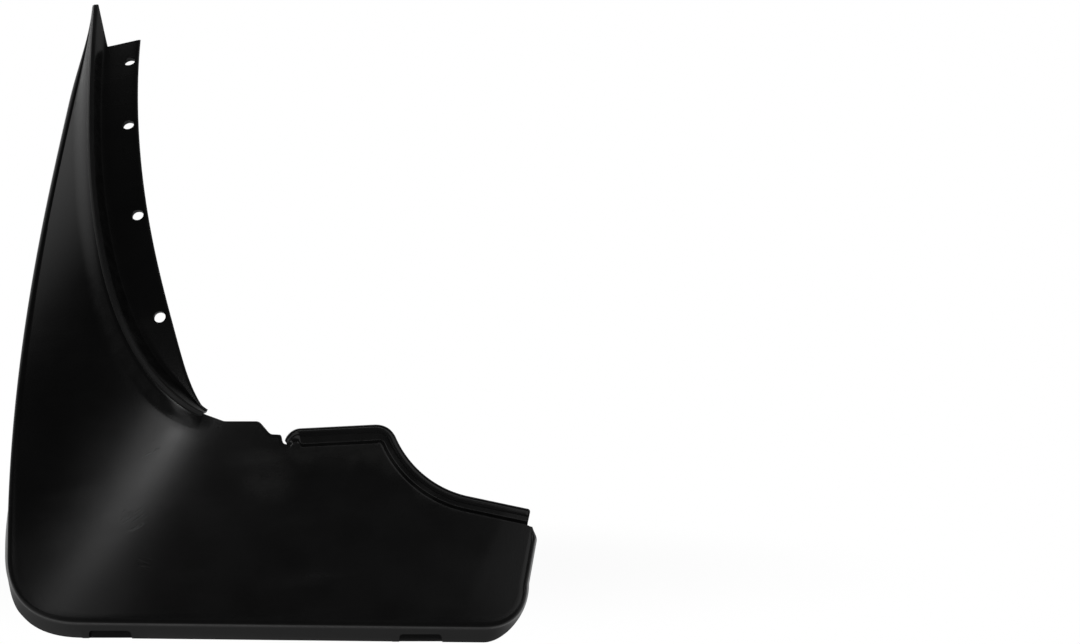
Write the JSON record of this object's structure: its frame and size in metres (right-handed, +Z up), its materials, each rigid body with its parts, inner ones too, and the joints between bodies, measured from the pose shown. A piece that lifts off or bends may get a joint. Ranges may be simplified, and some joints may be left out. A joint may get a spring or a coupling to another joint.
{
  "type": "mud flap",
  "caption": "Moulded wheel-arch mud flap: bent skin with a swept wing and a flared skirt, a drilled arch flange, a ridge capping and a rim edge trim.",
  "frame": {"origin": "axis of the lowest fixing hole, where it leaves the visible face of the arch flange", "axes": "+Z up along the wing, +X along the panel away from the wing, +Y away from the visible face towards the wheel"},
  "size_m": [0.2891, 0.1689, 0.3673],
  "materials": {
    "skin_plastic": "satin, fine moulded grain",
    "flange_plastic": "matt, fine moulded grain",
    "capping_rubber": "satin extruded strip",
    "trim_rubber": "satin extruded channel"
  },
  "bodies": {
    "root": {"flap_skin": "skin_plastic", "arch_flange": "flange_plastic", "arch_capping": "capping_rubber", "rim_trim": "trim_rubber"}
  },
  "joints": []
}
